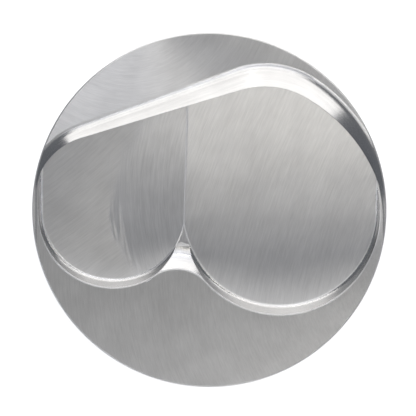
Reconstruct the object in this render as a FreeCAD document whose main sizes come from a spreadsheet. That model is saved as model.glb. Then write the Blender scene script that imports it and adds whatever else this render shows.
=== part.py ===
"""Golf ball marker: a milled disc with a blade-shaped relief on its face and a magnet in its back.

The relief is a raised blade with a sloping crown wall. Two round-bottomed lobes and a rounded tongue
are milled into it, and their common floor is a shallow dish that climbs towards the crown.
Frame: origin at the centre of the flat underside, +Z up through the relief face, +Y towards the crown.
"""

import FreeCAD, Part
import math
import os
import Sketcher

ORIGIN_GEOMETRY = -1
START = 1
END = 2
CENTRE = 3
CLOSE = 1e-4

SIZES = {
    # how far a cut runs past the metal
    "overrun": 1.0,
    # turned disc
    "disc_radius": 15.875,
    "stock_radius": 26.0,
    "underside_chamfer": 0.3,
    "edge_break": 0.12,
    # levels above the underside
    "background_height": 1.95,
    "muscle_height": 2.40,
    "blade_top_height": 4.2,
    # plan outline of the blade where its wall would meet the background
    "crest_slope": 19.6,
    "left_corner_radius": 6.26,
    "left_corner_x": -9.65,
    "crown_radius": 7.91,
    "crown_x": 4.97,
    "crown_y": 4.78,
    "right_shoulder_radius": 15.10,
    "right_shoulder_y": -1.14,
    "skirt_y": -18.0,
    "wall_draft": 45.0,
    "wall_foot_radius": 1.0,
    # dished floor: a cylinder whose axis is turned a little from X
    "dish_radius": 140.0,
    "dish_low_y": -14.4,
    "dish_low_height": 1.313,
    "dish_turn": -1.9,
    "dish_reach": 18.0,
    "crown_lift": 0.02,
    "strip_lift": 0.010,
    # lobes, at the muscle plane
    "left_lobe_x": -8.60,
    "left_lobe_y": -0.27,
    "left_lobe_radius": 6.70,
    "right_lobe_x": 6.32,
    "right_lobe_y": -0.46,
    "right_lobe_radius": 8.92,
    "lobe_lean": 0.68,
    "lobe_foot_radius": 0.40,
    "cutter_base_height": 1.0,
    "cutter_open_y": 17.0,
    # tongue between the lobes, at the muscle plane
    "tongue_radius": 3.6,
    "tongue_slope": 25.0,
    "tongue_foot_radius": 3.6,
    # magnet and its pocket in the underside
    "pocket_radius": 4.05,
    "pocket_depth": 1.10,
    "magnet_radius": 4.0,
    "magnet_thickness": 1.0,
    "magnet_chamfer": 0.12,
    "adhesive_thickness": 0.06,
}

doc = FreeCAD.newDocument("BallMarker")
sheet = doc.addObject("Spreadsheet::Sheet", "Sizes")
for row, (alias, value) in enumerate(SIZES.items(), start=1):
    sheet.set(f"A{row}", alias)
    sheet.set(f"B{row}", str(value))
    sheet.setAlias(f"B{row}", alias)
doc.recompute()


def size(expression):
    """The number that an expression of the sheet's aliases stands for."""
    return float(sheet.evalExpression(expression.replace("Sizes.", "")))


def vector(x, y, z=0.0):
    return FreeCAD.Vector(x, y, z)


def polar(centre, radius, degrees):
    """The point at that angle on a circle."""
    angle = math.radians(degrees)
    return centre + vector(radius * math.cos(angle), radius * math.sin(angle))


def arc(centre, radius, start_degrees, end_degrees):
    """An anticlockwise arc, for a sketch."""
    circle = Part.Circle(centre, vector(0, 0, 1), radius)
    return Part.ArcOfCircle(circle, math.radians(start_degrees), math.radians(end_degrees))


# ---------------------------------------------------------------- sketches and features


def new_body(label):
    body = doc.addObject("PartDesign::Body", label)
    body.Label = label
    return body


def new_sketch(body, name, plane="XY_Plane", height="0", turn="0"):
    """A sketch on one of its own body's origin planes, raised by height and turned about Z."""
    sketch = body.newObject("Sketcher::SketchObject", name)
    planes = {feature.Role: feature for feature in body.Origin.OriginFeatures}
    sketch.AttachmentSupport = [(planes[plane], "")]
    sketch.MapMode = "FlatFace"
    if plane == "XY_Plane":
        sketch.setExpression("AttachmentOffset.Base.z", height)
    else:
        turn_axis = vector(0, 1, 0)
        sketch.AttachmentOffset = FreeCAD.Placement(vector(0, 0), FreeCAD.Rotation(turn_axis, 1))
        sketch.setExpression("AttachmentOffset.Rotation.Angle", turn)
    return sketch


def set_size(sketch, kind, name, expression, *where):
    """A dimension of a sketch, bound to the sheet.

    DistanceX and DistanceY run from the first point to the second, so a point on the negative side
    of the origin is measured the other way."""
    value = size(expression)
    if kind in ("DistanceX", "DistanceY") and value < 0:
        value = -value
        expression = f"-({expression})"
        where = where[2:] + where[:2]
    if kind == "Angle":
        value = math.radians(value)
    index = sketch.addConstraint(Sketcher.Constraint(kind, *where, value))
    sketch.renameConstraint(index, name)
    sketch.setExpression(f"Constraints.{name}", expression)


def set_place(sketch, name, geometry, point, x=None, y=None):
    """Dimensions that hold a point at x, y from the origin."""
    for kind, axis, expression in (("DistanceX", "x", x), ("DistanceY", "y", y)):
        if expression is not None:
            where = (ORIGIN_GEOMETRY, START, geometry, point)
            set_size(sketch, kind, f"{name}_{axis}", expression, *where)


def join(sketch, kind, *pairs):
    """Coincident or tangent joints between the ends of two pieces of an outline."""
    for first, first_end, second, second_end in pairs:
        sketch.addConstraint(Sketcher.Constraint(kind, first, first_end, second, second_end))


def add_circle(sketch, name, radius):
    index = sketch.addGeometry(Part.Circle(vector(0, 0), vector(0, 0, 1), size(radius)))
    sketch.addConstraint(
        Sketcher.Constraint("Coincident", index, CENTRE, ORIGIN_GEOMETRY, START)
    )
    set_size(sketch, "Radius", name, radius, index)


def add_feature(body, kind, name, sketch=None, **values):
    """A PartDesign feature. A value given as text is an expression of the sheet."""
    feature = body.newObject(f"PartDesign::{kind}", name)
    if sketch is not None:
        feature.Profile = sketch
        sketch.Visibility = False
    for prop, value in values.items():
        if isinstance(value, str) and "Sizes." in value:
            feature.setExpression(prop, value)
        else:
            setattr(feature, prop, value)
    doc.recompute()
    return feature


def edges_where(feature, test):
    """Names of the edges of a feature whose middle and ends all pass a test."""
    names = []
    for number, edge in enumerate(feature.Shape.Edges, start=1):
        points = [edge.valueAt(edge.FirstParameter), edge.valueAt(edge.LastParameter)]
        points.append(edge.valueAt((edge.FirstParameter + edge.LastParameter) / 2))
        if all(test(point) for point in points):
            names.append(f"Edge{number}")
    return names


def dress(body, kind, name, base, edges, **values):
    """A fillet or chamfer on some edges of the feature before it."""
    if not edges:
        raise RuntimeError(f"{name}: no edge to work on")
    return add_feature(body, kind, name, Base=(base, edges), **values)


# ---------------------------------------------------------------- the dished floor


def on_dish(point, lift):
    """True where a point lies on the dished floor, raised by lift."""
    turn = math.radians(size("dish_turn"))
    along = point.y * math.cos(turn) - point.x * math.sin(turn)
    radius = size("dish_radius")
    rise = point.z - size(f"dish_low_height + {lift}") - radius
    return abs(math.hypot(along - size("dish_low_y"), rise) - radius) < CLOSE


def dish_profile(body, name, keep, lift):
    """The closed outline of the space above the dish, or below it, in the plane across its axis.

    The space above it starts where the dish meets the muscle plane, and follows that plane before."""
    sketch = new_sketch(body, name, "YZ_Plane", turn="Sizes.dish_turn")
    radius = size("dish_radius")
    low = vector(size("dish_low_y"), size(f"dish_low_height + {lift}"))
    centre = low + vector(0, radius)
    reach = size("dish_reach")
    muscle = size("muscle_height")
    start_y = -reach
    if keep == "above":
        start_y = low.x + math.sqrt(radius**2 - (centre.y - muscle) ** 2)
    ends = [math.degrees(math.asin((y - low.x) / radius)) for y in (start_y, reach)]
    sketch.addGeometry(arc(centre, radius, *(angle - 90 for angle in ends)))
    first, last = (polar(centre, radius, angle - 90) for angle in ends)
    edge = "Sizes.blade_top_height + Sizes.overrun" if keep == "above" else "-Sizes.overrun"
    corners = [last, vector(reach, size(edge)), vector(-reach, size(edge))]
    if keep == "above":
        corners.append(vector(-reach, muscle))
    corners.append(first)
    for begin, finish in zip(corners, corners[1:]):
        sketch.addGeometry(Part.LineSegment(begin, finish))
    lines = len(corners) - 1
    joints = [(0, END, 1, START), (lines, END, 0, START)]
    joints += [(line, END, line + 1, START) for line in range(1, lines)]
    join(sketch, "Coincident", *joints)
    for line in (1, 3):
        sketch.addConstraint(Sketcher.Constraint("Vertical", line))
    sketch.addConstraint(Sketcher.Constraint("Horizontal", 2))
    set_size(sketch, "Radius", "dish_radius", "Sizes.dish_radius", 0)
    centre_height = f"Sizes.dish_low_height + Sizes.dish_radius + {lift}"
    set_place(sketch, "dish_centre", 0, CENTRE, "Sizes.dish_low_y", centre_height)
    set_place(sketch, "far_corner", 1, END, "Sizes.dish_reach")
    set_place(sketch, "near_corner", 2, END, "-Sizes.dish_reach")
    set_place(sketch, "far_edge", 1, END, y=edge)
    if keep == "above":
        sketch.addConstraint(Sketcher.Constraint("Horizontal", 4))
        set_place(sketch, "muscle", 4, START, y="Sizes.muscle_height")
    return sketch


# ---------------------------------------------------------------- cutters


def lobe_outline(body, side, inner_end):
    """A round-bottomed lobe, open towards the crown, at the foot of the cutter, which leans back.

    Its outer side runs along Y. Its inner side follows the dish, so the lobes meet along one line."""
    sketch = new_sketch(body, f"{side}_lobe_outline", height="Sizes.cutter_base_height")
    centre_y = (
        f"Sizes.{side}_lobe_y + Sizes.lobe_lean * (Sizes.muscle_height - Sizes.cutter_base_height)"
    )
    radius = size(f"{side}_lobe_radius")
    centre = vector(size(f"{side}_lobe_x"), size(centre_y))
    turn = size("dish_turn")
    angles = {"left": (180, 360 + turn), "right": (180 + turn, 360)}[side]
    open_y = size("cutter_open_y")
    left, right = (polar(centre, radius, angle) for angle in angles)
    lean = math.tan(math.radians(-turn))
    left_top = vector(left.x, open_y)
    right_top = vector(right.x, open_y)
    if inner_end == END:
        right_top.x += lean * (open_y - right.y)
    else:
        left_top.x += lean * (open_y - left.y)
    sketch.addGeometry(arc(centre, radius, *angles))
    sketch.addGeometry(Part.LineSegment(right, right_top))
    sketch.addGeometry(Part.LineSegment(right_top, left_top))
    sketch.addGeometry(Part.LineSegment(left_top, left))
    join(sketch, "Tangent", (0, END, 1, START), (3, END, 0, START))
    join(sketch, "Coincident", (1, END, 2, START), (2, END, 3, START))
    sketch.addConstraint(Sketcher.Constraint("Horizontal", 2))
    inner_line, outer_line = (1, 3) if inner_end == END else (3, 1)
    sketch.addConstraint(Sketcher.Constraint("Vertical", outer_line))
    inner_angle = "90 deg + Sizes.dish_turn * 1 deg"
    if inner_end == START:
        inner_angle = "-90 deg + Sizes.dish_turn * 1 deg"
    degrees = (90 if inner_end == END else -90) + turn
    index = sketch.addConstraint(Sketcher.Constraint("Angle", inner_line, math.radians(degrees)))
    sketch.renameConstraint(index, "inner_angle")
    sketch.setExpression("Constraints.inner_angle", inner_angle)
    set_size(sketch, "Radius", "rim_radius", f"Sizes.{side}_lobe_radius", 0)
    set_place(sketch, "rim_centre", 0, CENTRE, f"Sizes.{side}_lobe_x", centre_y)
    set_place(sketch, "open_end", 2, START, y="Sizes.cutter_open_y")
    return sketch


def cut_to_dish(body, lift="0"):
    """Takes away what lies below the dished floor."""
    sketch = dish_profile(body, f"{body.Name}_floor", "below", lift)
    return add_feature(
        body, "Pocket", f"{body.Name}_floor_cut", sketch, Type="ThroughAll", SideType="Symmetric"
    )


def make_lobe_cutter(side, inner_end):
    """The solid that mills one lobe: an oblique prism with the dish and a rounded corner below."""
    body = new_body(f"{side}_lobe_cutter")
    outline = lobe_outline(body, side, inner_end)
    add_feature(
        body,
        "Pad",
        f"{side}_lobe_pad",
        outline,
        Length="Sizes.blade_top_height - Sizes.cutter_base_height",
        UseCustomVector=True,
        Direction=vector(0, -size("lobe_lean"), 1),
        AlongSketchNormal=True,
    )
    floor = cut_to_dish(body)
    top = size("blade_top_height") - CLOSE
    foot = edges_where(floor, lambda point: on_dish(point, "0"))
    foot = [name for name in foot if floor.Shape.getElement(name).CenterOfMass.z < top]
    dress(body, "Fillet", f"{side}_lobe_foot", floor, foot, Radius="Sizes.lobe_foot_radius")
    return body


def tongue_centre():
    """Centre of the tongue's round end, which touches both lobes' rims at the muscle plane."""
    left = vector(size("left_lobe_x"), size("left_lobe_y"))
    right = vector(size("right_lobe_x"), size("right_lobe_y"))
    to_left = size("left_lobe_radius + tongue_radius")
    to_right = size("right_lobe_radius + tongue_radius")
    apart = right - left
    gap = apart.Length
    along = (to_left**2 - to_right**2 + gap**2) / (2 * gap)
    across = math.sqrt(to_left**2 - along**2)
    unit = apart / gap
    return left + unit * along + vector(unit.y, -unit.x) * across


def touch_x(side, centre):
    """Where along X the tongue's round end touches one lobe's rim."""
    lobe = vector(size(f"{side}_lobe_x"), size(f"{side}_lobe_y"))
    radius = size(f"{side}_lobe_radius")
    return (lobe + (centre - lobe).normalize() * radius).x


def make_tongue_cutter():
    """The solid that opens the strip between the lobes, and slopes it up to the tongue's round end."""
    centre = tongue_centre()
    body = new_body("tongue_cutter")
    base = "Sizes.cutter_base_height"
    sketch = new_sketch(body, "strip_outline", height=base)
    open_y = size("cutter_open_y")
    xs = [touch_x(side, centre) for side in ("left", "right")]
    corners = [
        vector(xs[0], centre.y),
        vector(xs[1], centre.y),
        vector(xs[1], open_y),
        vector(xs[0], open_y),
    ]
    for begin, finish in zip(corners, corners[1:] + corners[:1]):
        sketch.addGeometry(Part.LineSegment(begin, finish))
    join(sketch, "Coincident", *[(line, END, (line + 1) % 4, START) for line in range(4)])
    for line in (0, 2):
        sketch.addConstraint(Sketcher.Constraint("Horizontal", line))
        sketch.addConstraint(Sketcher.Constraint("Vertical", line + 1))
    set_place(sketch, "near_left", 0, START, str(corners[0].x), str(corners[0].y))
    set_place(sketch, "far_right", 1, END, str(corners[2].x), "Sizes.cutter_open_y")
    add_feature(
        body, "Pad", "strip_pad", sketch, Length="Sizes.blade_top_height - Sizes.cutter_base_height"
    )
    cone = add_feature(body, "SubtractiveCone", "tongue_cone")
    depth = "(Sizes.muscle_height - Sizes.cutter_base_height)"
    grade = "tan(Sizes.tongue_slope * 1 deg)"
    cone.setExpression("Height", f"{depth} + Sizes.tongue_radius * {grade}")
    cone.setExpression("Radius1", f"Sizes.tongue_radius + {depth} / {grade}")
    cone.Radius2 = 0
    cone.AttachmentOffset = FreeCAD.Placement(centre, FreeCAD.Rotation())
    cone.Placement = FreeCAD.Placement(centre + vector(0, 0, size(base)), FreeCAD.Rotation())
    doc.recompute()
    lift = "Sizes.strip_lift"
    floor = cut_to_dish(body, lift)
    strip_end = open_y - CLOSE
    foot = [
        name
        for name in edges_where(floor, lambda point: on_dish(point, lift))
        if strip_end > floor.Shape.getElement(name).CenterOfMass.y
        and floor.Shape.getElement(name).BoundBox.XLength > (xs[1] - xs[0]) / 2
        and floor.Shape.getElement(name).CenterOfMass.z < size("muscle_height")
    ]
    dress(body, "Fillet", "tongue_foot", floor, foot, Radius="Sizes.tongue_foot_radius")
    return body


# ---------------------------------------------------------------- marker body


def blade_outline(body):
    """The closed outline of the blade at the background, with a skirt that runs off the disc."""
    sketch = new_sketch(body, "blade_outline", height="Sizes.background_height")
    slope = size("crest_slope")
    crown = vector(size("crown_x"), size("crown_y"))
    crown_radius = size("crown_radius")
    corner_radius = size("left_corner_radius")
    shoulder_radius = size("right_shoulder_radius")
    unit = polar(vector(0, 0), 1, slope)
    normal = polar(vector(0, 0), 1, slope + 90)
    line_offset = crown.dot(normal) + crown_radius
    along = (size("left_corner_x") - (line_offset - corner_radius) * normal.x) / unit.x
    corner = unit * along + normal * (line_offset - corner_radius)
    drop = size("right_shoulder_y") - crown.y
    run = math.sqrt((shoulder_radius - crown_radius) ** 2 - drop**2)
    shoulder = crown + vector(-run, drop)
    turn = math.degrees(math.atan2(-drop, run))
    skirt = size("skirt_y")
    arcs = (
        (corner, corner_radius, slope + 90, 180),
        (crown, crown_radius, turn, slope + 90),
        (shoulder, shoulder_radius, 0, turn),
    )
    for each in arcs:
        sketch.addGeometry(arc(*each))
    left_foot = polar(corner, corner_radius, 180)
    right_foot = polar(shoulder, shoulder_radius, 0)
    lines = (
        (polar(crown, crown_radius, slope + 90), polar(corner, corner_radius, slope + 90)),
        (left_foot, vector(left_foot.x, skirt)),
        (vector(left_foot.x, skirt), vector(right_foot.x, skirt)),
        (vector(right_foot.x, skirt), right_foot),
    )
    for line in lines:
        sketch.addGeometry(Part.LineSegment(*line))
    corner_arc, crown_arc, shoulder_arc, crest, left_side, bottom, right_side = range(7)
    join(
        sketch,
        "Tangent",
        (crown_arc, END, crest, START),
        (crest, END, corner_arc, START),
        (corner_arc, END, left_side, START),
        (right_side, END, shoulder_arc, START),
        (shoulder_arc, END, crown_arc, START),
    )
    join(sketch, "Coincident", (left_side, END, bottom, START), (bottom, END, right_side, START))
    sketch.addConstraint(Sketcher.Constraint("Horizontal", bottom))
    sketch.addConstraint(Sketcher.Constraint("Vertical", right_side))
    set_size(sketch, "Radius", "corner_radius", "Sizes.left_corner_radius", corner_arc)
    set_size(sketch, "Radius", "crown_radius", "Sizes.crown_radius", crown_arc)
    set_size(sketch, "Radius", "shoulder_radius", "Sizes.right_shoulder_radius", shoulder_arc)
    set_place(sketch, "crown", crown_arc, CENTRE, "Sizes.crown_x", "Sizes.crown_y")
    set_place(sketch, "corner", corner_arc, CENTRE, "Sizes.left_corner_x")
    set_place(sketch, "shoulder", shoulder_arc, CENTRE, y="Sizes.right_shoulder_y")
    set_place(sketch, "skirt", left_side, END, y="Sizes.skirt_y")
    return sketch


def ring_sketch(body, name, inner, outer):
    sketch = new_sketch(body, name)
    add_circle(sketch, "inner", inner)
    add_circle(sketch, "outer", outer)
    return sketch


def add_blade(body):
    """The stock disc with the blade on it, and the concave fillet at the foot of the blade's wall."""
    stock = new_sketch(body, "stock_outline")
    add_circle(stock, "stock_radius", "Sizes.stock_radius")
    add_feature(body, "Pad", "stock", stock, Length="Sizes.background_height")
    blade = add_feature(
        body,
        "Pad",
        "blade",
        blade_outline(body),
        Length="Sizes.blade_top_height - Sizes.background_height",
        TaperAngle="-Sizes.wall_draft",
    )
    level = size("background_height")
    skirt = size("skirt_y") + CLOSE

    def at_foot(point):
        inside = math.hypot(point.x, point.y) < size("stock_radius") - CLOSE
        return abs(point.z - level) < CLOSE and inside and point.y > skirt

    foot = edges_where(blade, at_foot)
    dress(body, "Fillet", "wall_foot", blade, foot, Radius="Sizes.wall_foot_radius")


def cut_relief(body):
    """The crown and muscle plane, then the two lobes and the tongue."""
    crown = dish_profile(body, "crown_profile", "above", "Sizes.crown_lift")
    add_feature(body, "Pocket", "crown_cut", crown, Type="ThroughAll", SideType="Symmetric")
    cutters = [make_lobe_cutter("left", END), make_lobe_cutter("right", START), make_tongue_cutter()]
    add_feature(body, "Boolean", "relief_cut", Type="Cut", Group=cutters)


def turn_edge(body):
    """Turns the stock down to the disc."""
    ring = ring_sketch(body, "disc_outline", "Sizes.disc_radius", "Sizes.stock_radius + Sizes.overrun")
    return add_feature(
        body, "Pocket", "turned_edge", ring, Type="ThroughAll", SideType="One side", Reversed=True
    )


def cut_magnet_pocket(body):
    """A round pocket in the underside."""
    pocket = new_sketch(body, "pocket_outline")
    add_circle(pocket, "pocket_radius", "Sizes.pocket_radius")
    return add_feature(
        body, "Pocket", "magnet_pocket", pocket, Length="Sizes.pocket_depth", Reversed=True
    )


def break_edges(body, turned):
    """Chamfers the underside's edge, and rounds the edge round the relief face."""
    radius = size("disc_radius")

    def at_rim(point):
        return abs(math.hypot(point.x, point.y) - radius) < CLOSE

    lower = edges_where(turned, lambda point: at_rim(point) and abs(point.z) < CLOSE)
    under = dress(
        body, "Chamfer", "underside_edge", turned, lower, Size="Sizes.underside_chamfer"
    )
    side_foot = size("underside_chamfer") + CLOSE
    upper = edges_where(under, lambda point: at_rim(point) and point.z > side_foot)
    return dress(body, "Fillet", "face_edge", under, upper, Radius="Sizes.edge_break")


def make_marker_body():
    """The whole one-piece disc."""
    body = new_body("marker_body")
    add_blade(body)
    cut_relief(body)
    break_edges(body, turn_edge(body))
    cut_magnet_pocket(body)
    return body


def make_magnet():
    """A disc magnet with chamfered edges, held just inside the pocket's mouth."""
    body = new_body("magnet")
    outline = new_sketch(body, "magnet_outline")
    add_circle(outline, "magnet_radius", "Sizes.magnet_radius")
    disc = add_feature(body, "Pad", "magnet_disc", outline, Length="Sizes.magnet_thickness")
    names = [f"Edge{number}" for number in range(1, len(disc.Shape.Edges) + 1)]
    rims = [name for name in names if disc.Shape.getElement(name).isClosed()]
    dress(body, "Chamfer", "magnet_edges", disc, rims, Size="Sizes.magnet_chamfer")
    lift = "Sizes.pocket_depth - Sizes.adhesive_thickness - Sizes.magnet_thickness"
    body.setExpression("Placement.Base.z", lift)
    return body


def make_adhesive():
    """The film of cured adhesive between the magnet and the pocket's roof."""
    body = new_body("magnet_adhesive")
    outline = new_sketch(body, "adhesive_outline")
    add_circle(outline, "film_radius", "Sizes.magnet_radius - Sizes.magnet_chamfer")
    add_feature(body, "Pad", "adhesive_film", outline, Length="Sizes.adhesive_thickness")
    body.setExpression("Placement.Base.z", "Sizes.pocket_depth - Sizes.adhesive_thickness")
    return body


# ---------------------------------------------------------------- checks and export


def check_objects():
    doc.recompute()
    for each in doc.Objects:
        if "Invalid" in each.State or "Error" in each.State:
            raise RuntimeError(f"{each.Label}: {each.State}")


def export(body):
    shape = body.Shape
    if shape.isNull() or not shape.isValid() or len(shape.Solids) != 1:
        raise RuntimeError(f"{body.Label}: not one valid solid")
    shape.exportStep(f"parts/{body.Label}.step")
    print(f"{body.Label}: {shape.Volume:.1f} mm3, {len(shape.Faces)} faces")


bodies = [make_marker_body(), make_magnet(), make_adhesive()]
check_objects()
os.makedirs("parts", exist_ok=True)
for made in bodies:
    export(made)
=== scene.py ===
"""Golf ball marker: brushed and milled steel disc on a white table, seen from straight above."""

import math

import bpy
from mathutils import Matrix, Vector

MM = 0.001

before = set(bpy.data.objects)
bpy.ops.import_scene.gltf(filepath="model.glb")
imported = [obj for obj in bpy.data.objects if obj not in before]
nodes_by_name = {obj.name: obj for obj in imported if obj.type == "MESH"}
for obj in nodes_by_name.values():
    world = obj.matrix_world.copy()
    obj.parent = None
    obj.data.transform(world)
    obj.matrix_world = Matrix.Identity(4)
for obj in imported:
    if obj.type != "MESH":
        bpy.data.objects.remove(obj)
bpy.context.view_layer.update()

# ------------------------------------------------------------------ regions of the relief
# Places and widths are in millimetres in the part's frame. A cosine is the upward part of a
# surface's normal: 1 is level and 0 is upright.

UNDER_COSINE = -0.9        # a surface that faces down more than this is the underside
FLAT_COSINE = 0.9996       # a surface flatter than this is one of the two level planes
GENTLE_COSINE = 0.975      # a surface flatter than this is a floor or a plane, and not a wall
LEVEL_BETWEEN_PLANES = 2.2

# the line between the two lobes: x = SEAM_X + SEAM_LEAN * y
SEAM_X = -2.27
SEAM_LEAN = 0.035

# the left lobe is brushed in two passes, which meet on this arc, blurred and wandering
TOE_CENTRE = (2.0, 0.4, 0.0)
TOE_RADIUS = 10.4
TOE_BLEND = 0.5
TOE_WANDER = 5.0

# fine raised lines that the cutter left round each lobe's floor and between the two; a highlight
# is painted on them
RIDGE_WIDTH = 0.17
RIDGE_HEIGHT = 16.0        # micrometres
# how much the painted highlight lightens the colour on these lines and on the rims
RIDGE_PAINTED_HIGHLIGHT = 0.34
RIDGE_COSINE = 0.80        # no ridge on a surface steeper than this
RIDGE_FORK = (-2.25, -1.36)
RIDGES = (
    (RIDGE_FORK, (-1.955, 9.2)),
    ((-15.0, 0.0), (-15.0, 3.5)),
    ((14.93, 0.0), (15.0, 2.6)),
)
# centre and radius; an arc is drawn below the fork, and farther out than SIDES_X below y = 0
RIDGE_ARCS = (
    ((-8.60, 0.0, 0.0), 6.42),
    ((6.32, 0.0, 0.0), 8.62),
)
SIDES_X = 4.5

# the rims of the lobes and the tongue, lightened by a painted highlight: centre, radius and the
# lowest y
RIM_LEVEL = 2.36
RIM_WIDTH = 0.20
OFF_THE_DISC = -20.0
RIMS = (
    ((-8.60, -0.27, 0.0), 6.72, OFF_THE_DISC),
    ((6.32, -0.46, 0.0), 8.94, OFF_THE_DISC),
    ((-2.946, -8.880, 0.0), 3.58, -6.5),
)

# a highlight is painted on the disc's rounded edge, from this radius outwards; below the cosine
# that fades out
DISC_CENTRE = (0, 0, 0)
DISC_EDGE = 15.76
DISC_EDGE_COSINE = 0.3
DISC_EDGE_PAINTED_HIGHLIGHT = 0.30

# a lighter reflection is painted on each lobe's floor near its lower rim: centre and rim radius
REFLECTION_RIMS = (
    ((-8.60, -0.27, 0.0), 6.70),
    ((6.32, -0.46, 0.0), 8.92),
)
# shares of the rim radius: the painted reflection grows from start to full, and from top to bottom
REFLECTION_START = 0.40
REFLECTION_FULL = 1.0
REFLECTION_TOP = -0.45
REFLECTION_BOTTOM = -0.95

# ------------------------------------------------------------------ node helpers

NOISE_LOW = 0.3            # noise mostly lies between these two
NOISE_HIGH = 0.7
FINE_NOISE = (3.0, 0.65)   # detail and roughness
COARSE_NOISE = (2.0, 0.6)
SPECK_NOISE = (3.0, 0.6)


class Nodes:
    """Short ways to make and join a material's nodes."""

    def __init__(self, material):
        material.use_nodes = True
        self.tree = material.node_tree
        self.tree.nodes.clear()

    def add(self, kind, inputs=None, **settings):
        node = self.tree.nodes.new(f"ShaderNode{kind}")
        for name, value in settings.items():
            setattr(node, name, value)
        for name, value in (inputs or {}).items():
            self.set(node.inputs[name], value)
        return node

    def set(self, socket, value):
        if isinstance(value, bpy.types.NodeSocket):
            self.tree.links.new(value, socket)
        else:
            socket.default_value = value

    def math(self, operation, *values):
        node = self.add("Math", operation=operation)
        for socket, value in zip(node.inputs, values):
            self.set(socket, value)
        return node.outputs[0]

    def vector(self, operation, *values):
        inputs = dict(enumerate(values))
        return self.add("VectorMath", inputs, operation=operation).outputs[0]

    def length(self, vector):
        return self.add("VectorMath", {0: vector}, operation="LENGTH").outputs["Value"]

    def combine(self, x, y, z):
        return self.add("CombineXYZ", {0: x, 1: y, 2: z}).outputs[0]

    def separate(self, vector):
        return self.add("SeparateXYZ", {0: vector}).outputs

    def mix(self, factor, first, second):
        """first where the factor is 0, second where it is 1."""
        inputs = {"Factor": factor, "A": first, "B": second}
        return self.add("Mix", inputs, data_type="FLOAT").outputs["Result"]

    def mix_vector(self, factor, first, second):
        node = self.add("Mix", data_type="VECTOR")
        self.set(node.inputs["Factor"], factor)
        for socket in node.inputs:
            if socket.type == "VECTOR" and socket.name in "AB":
                self.set(socket, first if socket.name == "A" else second)
        return [socket for socket in node.outputs if socket.type == "VECTOR"][0]

    def ramp(self, value, low, high, to_low=0.0, to_high=1.0):
        sockets = {
            "Value": value,
            "From Min": low,
            "From Max": high,
            "To Min": to_low,
            "To Max": to_high,
        }
        return self.add("MapRange", sockets, clamp=True).outputs[0]

    def noise_ramp(self, noise, to_low, to_high):
        """Noise, spread over another range."""
        return self.ramp(noise, NOISE_LOW, NOISE_HIGH, to_low, to_high)

    def noise(self, vector, scale, detail=2.0, roughness=0.5):
        sockets = {"Vector": vector, "Scale": scale, "Detail": detail, "Roughness": roughness}
        return self.add("TexNoise", sockets, noise_dimensions="3D").outputs[0]

    def place(self):
        """Where a point lies on the marker, in millimetres."""
        local = self.add("TexCoord").outputs["Object"]
        return self.add("VectorMath", {0: local, "Scale": 1 / MM}, operation="SCALE").outputs[0]

    def tint(self, shade, colour):
        return self.vector("MULTIPLY", self.combine(shade, shade, shade), colour)

    def bump(self, height, **inputs):
        """A bumped normal, from a height in micrometres."""
        sockets = {"Height": height, "Distance": MM * MM, **inputs}
        return self.add("Bump", sockets).outputs[0]

    def principled(self, inputs):
        surface = self.add("BsdfPrincipled", inputs)
        self.add("OutputMaterial", {"Surface": surface.outputs[0]})


# ------------------------------------------------------------------ brushing


class Arcs:
    """Arcs that run at an angle through a point, and bend about a centre.

    The centre is to their left, or to their right where the bend is negative."""

    def __init__(self, x, y, degrees, bend):
        angle = math.radians(degrees)
        self.centre = (x - bend * math.sin(angle), y + bend * math.cos(angle), 0.0)
        self.bend = abs(bend)


class Grain:
    """Brushing or tool marks: the size of one mark, and what the marks do to the steel."""

    def __init__(self, length, width, depth, contrast, roughness, anisotropy, arcs=None):
        self.length = length
        self.width = width
        self.depth = depth
        self.contrast = contrast
        self.roughness = roughness
        self.anisotropy = anisotropy
        self.arcs = arcs


# millimetres and degrees; depth is in micrometres
WALL_GRAIN = Grain(6.0, 0.10, 0.2, 0.8, 0.22, 0.7)
GRAINS = {
    "upper": Grain(1.3, 0.075, 1.8, 1.2, 0.36, 0.8, Arcs(-8.0, 9.0, -5.0, 11.0)),
    "lower": Grain(1.0, 0.07, 1.5, 1.1, 0.36, 0.75, Arcs(-10.0, -9.0, -84.0, 30.0)),
    "left": Grain(1.8, 0.07, 2.0, 1.7, 0.31, 0.65, Arcs(-8.4, 0.4, 92.0, -26.0)),
    "toe": Grain(1.2, 0.07, 1.6, 1.2, 0.36, 0.8, Arcs(-13.0, 3.0, 38.0, 60.0)),
    "right": Grain(1.2, 0.07, 1.8, 1.3, 0.33, 0.85, Arcs(6.0, 2.0, 70.0, -60.0)),
}
BLENDED = ("depth", "contrast", "roughness", "anisotropy")
COARSE_SHARE = (0.4, 0.35, 0.35)


def polar(nodes, place, centre):
    """Where a point lies on arcs about a centre.

    It gives the radius, the angle, the direction across the arcs, and the depth below the centre.
    The angle is measured from -X, so that it has no jump on a piece to the left of the centre."""
    offset = nodes.vector("SUBTRACT", centre, place)
    flat = nodes.vector("MULTIPLY", offset, (1, 1, 0))
    across = nodes.vector("NORMALIZE", flat)
    x, y, z = nodes.separate(offset)
    return nodes.length(flat), nodes.math("ARCTAN2", y, x), across, z


def distance(nodes, place, centre):
    """How far a point lies from a centre, seen from above."""
    return polar(nodes, place, centre)[0]


def marks_and_bands(nodes, fine):
    """Noise drawn out into fine marks, and into broad bands of them, both from 0 to 1."""
    coarse = nodes.vector("MULTIPLY", fine, COARSE_SHARE)
    return nodes.noise(fine, 1.0, *FINE_NOISE), nodes.noise(coarse, 1.0, *COARSE_NOISE)


def brushing(nodes, place, grain):
    """The marks and bands of a grain, and the direction across them."""
    radius, turn, across, z = polar(nodes, place, grain.arcs.centre)
    along = nodes.math("MULTIPLY", turn, grain.arcs.bend / grain.length)
    side = nodes.math("DIVIDE", radius, grain.width)
    marks, bands = marks_and_bands(nodes, nodes.combine(along, side, z))
    return marks, bands, across


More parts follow.
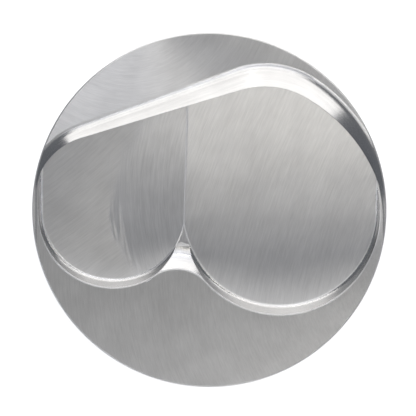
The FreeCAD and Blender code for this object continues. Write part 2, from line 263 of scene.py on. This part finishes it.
def turning(nodes, place, normal, grain):
    """Level tool marks on walls, and rings on the underside, with the direction across them."""
    under = nodes.math("LESS_THAN", nodes.separate(normal)[2], UNDER_COSINE)
    radius, _, outwards, _ = polar(nodes, place, DISC_CENTRE)
    x, y, z = nodes.separate(place)
    side = nodes.math("DIVIDE", nodes.math("MULTIPLY_ADD", radius, under, z), grain.width)
    spots = [nodes.math("DIVIDE", value, grain.length) for value in (x, y)]
    marks, bands = marks_and_bands(nodes, nodes.combine(*spots, side))
    level = nodes.vector("CROSS_PRODUCT", normal, (0, 0, 1))
    uphill = nodes.vector("CROSS_PRODUCT", level, normal)
    return marks, bands, nodes.mix_vector(under, uphill, outwards)


def regions(nodes, place, up):
    """Masks of the differently brushed areas."""
    x, y, z = nodes.separate(place)
    flat = nodes.math("GREATER_THAN", up, FLAT_COSINE)
    lower = nodes.math("MULTIPLY", flat, nodes.math("GREATER_THAN", z, LEVEL_BETWEEN_PLANES))
    upper = nodes.math("SUBTRACT", flat, lower)
    floor = nodes.math("SUBTRACT", nodes.math("GREATER_THAN", up, GENTLE_COSINE), flat)
    seam = nodes.math("MULTIPLY_ADD", y, SEAM_LEAN, SEAM_X)
    right = nodes.math("MULTIPLY", floor, nodes.math("GREATER_THAN", x, seam))
    left = nodes.math("SUBTRACT", floor, right)
    bands = brushing(nodes, place, GRAINS["left"])[1]
    radius = distance(nodes, place, TOE_CENTRE)
    wander = nodes.math("MULTIPLY_ADD", nodes.math("SUBTRACT", bands, 0.5), TOE_WANDER, radius)
    toe = nodes.math("MULTIPLY", left, nodes.ramp(wander, TOE_RADIUS, TOE_RADIUS + TOE_BLEND))
    return {"upper": upper, "lower": lower, "left": left, "toe": toe, "right": right}


# ------------------------------------------------------------------ lines, painted highlights and painted reflections


def thin_line(nodes, away, width):
    """1 where the distance from a line is 0, falling to 0 at half its width."""
    return nodes.ramp(away, 0.0, width / 2, 1.0, 0.0)


def thin_circle(nodes, place, centre, radius, width):
    """1 on a thin circle, seen from above."""
    offset = nodes.math("SUBTRACT", distance(nodes, place, centre), radius)
    return thin_line(nodes, nodes.math("ABSOLUTE", offset), width)


def reach(nodes, x, y, start, direction):
    """How far a point lies from a start, along a direction."""
    return nodes.math(
        "ADD",
        nodes.math("MULTIPLY", x, direction.x),
        nodes.math("MULTIPLY_ADD", y, direction.y, -start.dot(direction)),
    )


def straight_ridge(nodes, x, y, start, end):
    """1 on a thin straight line between two points, and 0 beyond its width and its ends."""
    start, end = Vector(start), Vector(end)
    direction = (end - start).normalized()
    side = Vector((-direction.y, direction.x))
    away = nodes.math("ABSOLUTE", reach(nodes, x, y, start, side))
    along = reach(nodes, x, y, start, direction)
    inside = nodes.math(
        "MULTIPLY",
        nodes.math("GREATER_THAN", along, 0.0),
        nodes.math("LESS_THAN", along, (end - start).length),
    )
    return nodes.math("MULTIPLY", inside, thin_line(nodes, away, RIDGE_WIDTH))


def ridges(nodes, place, up):
    """1 on the cutter's fine raised lines."""
    x, y, _ = nodes.separate(place)
    line = 0.0
    for start, end in RIDGES:
        line = nodes.math("MAXIMUM", line, straight_ridge(nodes, x, y, start, end))
    below_fork = nodes.math("LESS_THAN", y, RIDGE_FORK[1])
    at_sides = nodes.math("GREATER_THAN", nodes.math("ABSOLUTE", x), SIDES_X)
    below_sides = nodes.math("MULTIPLY", at_sides, nodes.math("LESS_THAN", y, 0.0))
    on_arc = nodes.math("MAXIMUM", below_fork, below_sides)
    for centre, radius in RIDGE_ARCS:
        circle = thin_circle(nodes, place, centre, radius, RIDGE_WIDTH)
        line = nodes.math("MAXIMUM", line, nodes.math("MULTIPLY", circle, on_arc))
    return nodes.math("MULTIPLY", line, nodes.math("GREATER_THAN", up, RIDGE_COSINE))


def rims(nodes, place):
    """1 on the rims of the lobes and the tongue, in the lower half of the picture, where a
    highlight is painted.
    """
    _, y, z = nodes.separate(place)
    at_rim = nodes.math(
        "MULTIPLY", nodes.math("GREATER_THAN", z, RIM_LEVEL), nodes.math("LESS_THAN", y, 0.0)
    )
    line = 0.0
    for centre, radius, lowest in RIMS:
        circle = thin_circle(nodes, place, centre, radius, RIM_WIDTH)
        shown = nodes.math("MULTIPLY", at_rim, nodes.math("GREATER_THAN", y, lowest))
        line = nodes.math("MAXIMUM", line, nodes.math("MULTIPLY", circle, shown))
    return line


def painted_reflections(nodes, place, up):
    """1 where a lighter reflection is painted on a lobe's floor, near its lower rim."""
    gentle = nodes.math("GREATER_THAN", up, GENTLE_COSINE)
    y = nodes.separate(place)[1]
    reflection_mask = 0.0
    for centre, rim in REFLECTION_RIMS:
        radius = distance(nodes, place, centre)
        edge = nodes.ramp(radius, REFLECTION_START * rim, REFLECTION_FULL * rim)
        inside = nodes.math("LESS_THAN", radius, rim)
        down = nodes.ramp(y, REFLECTION_BOTTOM * rim, REFLECTION_TOP * rim, 1.0, 0.0)
        reflection = nodes.math("MULTIPLY", nodes.math("MULTIPLY", edge, inside), down)
        reflection_mask = nodes.math("MAXIMUM", reflection_mask, nodes.math("MULTIPLY", reflection, gentle))
    return reflection_mask


# ------------------------------------------------------------------ materials

STEEL_COLOUR = (0.68, 0.675, 0.67)
# roughness where highlights are painted: on the lines, the rims and the disc's rounded edge
HIGHLIGHT_ROUGHNESS = 0.5
# a painted reflection lightens each lobe's floor near its lower rim; the floor there is also
# rougher and less anisotropic
REFLECTION_ROUGHNESS = 0.52
REFLECTION_ANISOTROPY = 0.2
REFLECTION_PAINTED_LIGHT = 0.16
MARKS_SHADE = (-0.06, 0.03)
BANDS_SHADE = (-0.04, 0.03)
MOTTLE_SCALE = 0.35        # patches per millimetre
MOTTLE_SHADE = 0.05
EDGE_BREAK = 0.10          # millimetres
EDGE_BREAK_SAMPLES = 4


def steel():
    """Milled steel, brushed a different way in each region, with painted highlights on its lines,
    rims and rounded edge, and painted reflections near each lobe's lower rim.
    """
    material = bpy.data.materials.new("milled_steel")
    nodes = Nodes(material)
    place = nodes.place()
    normal = nodes.add("NewGeometry").outputs["Normal"]
    up = nodes.separate(normal)[2]

    marks, bands, across = turning(nodes, place, normal, WALL_GRAIN)
    values = {name: getattr(WALL_GRAIN, name) for name in BLENDED}
    for region, mask in regions(nodes, place, up).items():
        grain = GRAINS[region]
        new_marks, new_bands, new_across = brushing(nodes, place, grain)
        marks = nodes.mix(mask, marks, new_marks)
        bands = nodes.mix(mask, bands, new_bands)
        across = nodes.mix_vector(mask, across, new_across)
        for name in BLENDED:
            values[name] = nodes.mix(mask, values[name], getattr(grain, name))

    reflection_mask = painted_reflections(nodes, place, up)
    line = nodes.math("MAXIMUM", ridges(nodes, place, up), rims(nodes, place))
    outermost = nodes.math("GREATER_THAN", distance(nodes, place, DISC_CENTRE), DISC_EDGE)
    edge_highlight = nodes.math("MULTIPLY", outermost, nodes.ramp(up, 0.0, DISC_EDGE_COSINE))
    # where highlights are painted: the lines, the rims and the disc's rounded edge, which are also
    # rougher
    painted_highlight_mask = nodes.math("MAXIMUM", line, edge_highlight)
    roughness = nodes.mix(reflection_mask, values["roughness"], REFLECTION_ROUGHNESS)
    roughness = nodes.mix(painted_highlight_mask, roughness, HIGHLIGHT_ROUGHNESS)
    anisotropy = nodes.mix(reflection_mask, values["anisotropy"], REFLECTION_ANISOTROPY)

    marks_height = nodes.math("MULTIPLY", marks, values["depth"])
    height = nodes.math("MULTIPLY_ADD", line, RIDGE_HEIGHT, marks_height)
    bevel = nodes.add("Bevel", {"Radius": EDGE_BREAK * MM}, samples=EDGE_BREAK_SAMPLES).outputs[0]

    brushed = nodes.math(
        "ADD", nodes.noise_ramp(marks, *MARKS_SHADE), nodes.noise_ramp(bands, *BANDS_SHADE)
    )
    mottle = nodes.noise_ramp(nodes.noise(place, MOTTLE_SCALE), 1 - MOTTLE_SHADE, 1 + MOTTLE_SHADE)
    shade = nodes.math("MULTIPLY_ADD", brushed, values["contrast"], mottle)
    # painted highlight: the colour is lighter on the lines and the rims
    shade = nodes.math("MULTIPLY_ADD", line, RIDGE_PAINTED_HIGHLIGHT, shade)
    # painted reflection: each lobe's floor is lighter near its lower rim
    shade = nodes.math("MULTIPLY_ADD", reflection_mask, REFLECTION_PAINTED_LIGHT, shade)
    # painted highlight: the disc's rounded edge is lighter
    shade = nodes.math("MULTIPLY_ADD", edge_highlight, DISC_EDGE_PAINTED_HIGHLIGHT, shade)

    nodes.principled(
        {
            "Base Color": nodes.tint(shade, STEEL_COLOUR),
            "Metallic": 1.0,
            "Roughness": roughness,
            "Anisotropic": anisotropy,
            "Normal": nodes.bump(height, Strength=1.0, Normal=bevel),
            "Tangent": across,
        }
    )
    return material


def speckled(name, colour, metallic, roughness, scale, contrast, depth):
    """An even finish with fine specks: scale is per millimetre, depth is in micrometres."""
    material = bpy.data.materials.new(name)
    nodes = Nodes(material)
    specks = nodes.noise(nodes.place(), scale, *SPECK_NOISE)
    shade = nodes.noise_ramp(specks, 1 - contrast, 1 + contrast)
    nodes.principled(
        {
            "Base Color": nodes.tint(shade, colour),
            "Metallic": metallic,
            "Roughness": nodes.noise_ramp(
                specks, roughness * (1 + contrast), roughness * (1 - contrast)
            ),
            "Normal": nodes.bump(nodes.math("MULTIPLY", specks, depth)),
        }
    )
    return material


MATERIALS = {
    "marker_body": steel(),
    "magnet": speckled("nickel_plating", (0.66, 0.64, 0.60), 1.0, 0.20, 4.0, 0.12, 2.0),
    "magnet_adhesive": speckled("cured_epoxy", (0.52, 0.44, 0.28), 0.0, 0.50, 2.0, 0.10, 8.0),
}
for node_name, finish in MATERIALS.items():
    nodes_by_name[node_name].material_slots[0].material = finish

# ------------------------------------------------------------------ table

TABLE_SIZE = 1.2           # metres
TABLE_GAP = 0.02 * MM      # keeps the table clear of the underside, which lies at z = 0
TABLE_COLOUR = (0.9, 0.9, 0.9, 1)
TABLE_ROUGHNESS = 0.8
TABLE_GLOW = 0.7

bpy.ops.mesh.primitive_plane_add(size=TABLE_SIZE, location=(0, 0, -TABLE_GAP))
table = bpy.context.object
table.name = "table"
table_paint = bpy.data.materials.new("white_table")
Nodes(table_paint).principled(
    {
        "Base Color": TABLE_COLOUR,
        "Roughness": TABLE_ROUGHNESS,
        "Emission Color": (1, 1, 1, 1),
        "Emission Strength": TABLE_GLOW,
    }
)
table.data.materials.append(table_paint)
table.visible_glossy = False
table.visible_shadow = False

# ------------------------------------------------------------------ lights

LIGHT_DISTANCE = 0.40      # metres
WARM = (1.0, 0.985, 0.965)
STRAW = (1.0, 0.965, 0.88)
COOL = (0.94, 0.95, 1.0)
BLUE = (0.76, 0.80, 1.0)


def softbox(name, azimuth, lean, width, height, radiance, colour):
    """A rectangular light aimed at the marker, with its width and height in metres.

    Its azimuth is anticlockwise from +X and its lean is from the vertical, both in degrees."""
    light = bpy.data.lights.new(name, "AREA")
    light.shape = "RECTANGLE"
    light.size = width
    light.size_y = height
    light.energy = radiance * math.pi * width * height
    light.color = colour
    lamp = bpy.data.objects.new(name, light)
    bpy.context.scene.collection.objects.link(lamp)
    around = math.radians(azimuth)
    down = math.radians(lean)
    lamp.location = LIGHT_DISTANCE * Vector(
        (math.sin(down) * math.cos(around), math.sin(down) * math.sin(around), math.cos(down))
    )
    lamp.rotation_euler = (down, 0, around + math.pi / 2)
    lamp.visible_camera = False


# name, azimuth, lean, width, height, radiance and colour
SOFTBOXES = (
    ("front_middle", -90, 22, 0.08, 0.030, 1.0, BLUE),
    ("front_key", -62, 24, 0.08, 0.030, 12.0, STRAW),
    ("front_right", -34, 36, 0.18, 0.040, 2.0, BLUE),
    ("front_left", -140, 36, 0.18, 0.040, 6.5, COOL),
    ("front_low", -95, 80, 0.50, 0.120, 1.5, WARM),
    ("top_middle", -90, 1, 0.08, 0.028, 1.0, STRAW),
    ("top_back_right", 36, 14, 0.08, 0.045, 7.5, STRAW),
    ("back_high", 90, 19, 0.10, 0.050, 5.0, COOL),
    ("back_upper", 90, 31, 0.24, 0.120, 1.0, COOL),
    ("back_middle", 90, 50, 0.34, 0.150, 1.5, WARM),
    ("wall_right", 56, 88, 0.20, 0.360, 1.4, WARM),
    ("wall_middle", 84, 88, 0.20, 0.360, 1.4, WARM),
    ("wall_left", 111, 88, 0.20, 0.360, 1.4, WARM),
    ("side_left", 184, 78, 0.16, 0.160, 0.5, WARM),
    ("side_right", -4, 78, 0.16, 0.160, 0.5, WARM),
)

for softbox_values in SOFTBOXES:
    softbox(*softbox_values)

AMBIENT = 0.17
AMBIENT_COLOUR = (0.85, 0.9, 1, 1)

world = bpy.data.worlds.new("studio")
bpy.context.scene.world = world
world.use_nodes = True
world.node_tree.nodes["Background"].inputs["Color"].default_value = AMBIENT_COLOUR
world.node_tree.nodes["Background"].inputs["Strength"].default_value = AMBIENT

# ------------------------------------------------------------------ camera

FRAME_WIDTH = 37.28 * MM   # how much the picture takes in, at the height of the face
FACE_HEIGHT = 2.0 * MM
SENSOR = 36.0              # millimetres
LENS = 300.0               # millimetres
CENTRE_X = -0.118 * MM
CENTRE_Y = 0.137 * MM

camera_data = bpy.data.cameras.new("camera")
camera_data.sensor_width = SENSOR
camera_data.lens = LENS
camera = bpy.data.objects.new("camera", camera_data)
bpy.context.scene.collection.objects.link(camera)
camera.location = (CENTRE_X, CENTRE_Y, FACE_HEIGHT + FRAME_WIDTH * LENS / SENSOR)
bpy.context.scene.camera = camera
bpy.context.scene.view_settings.view_transform = "Standard"
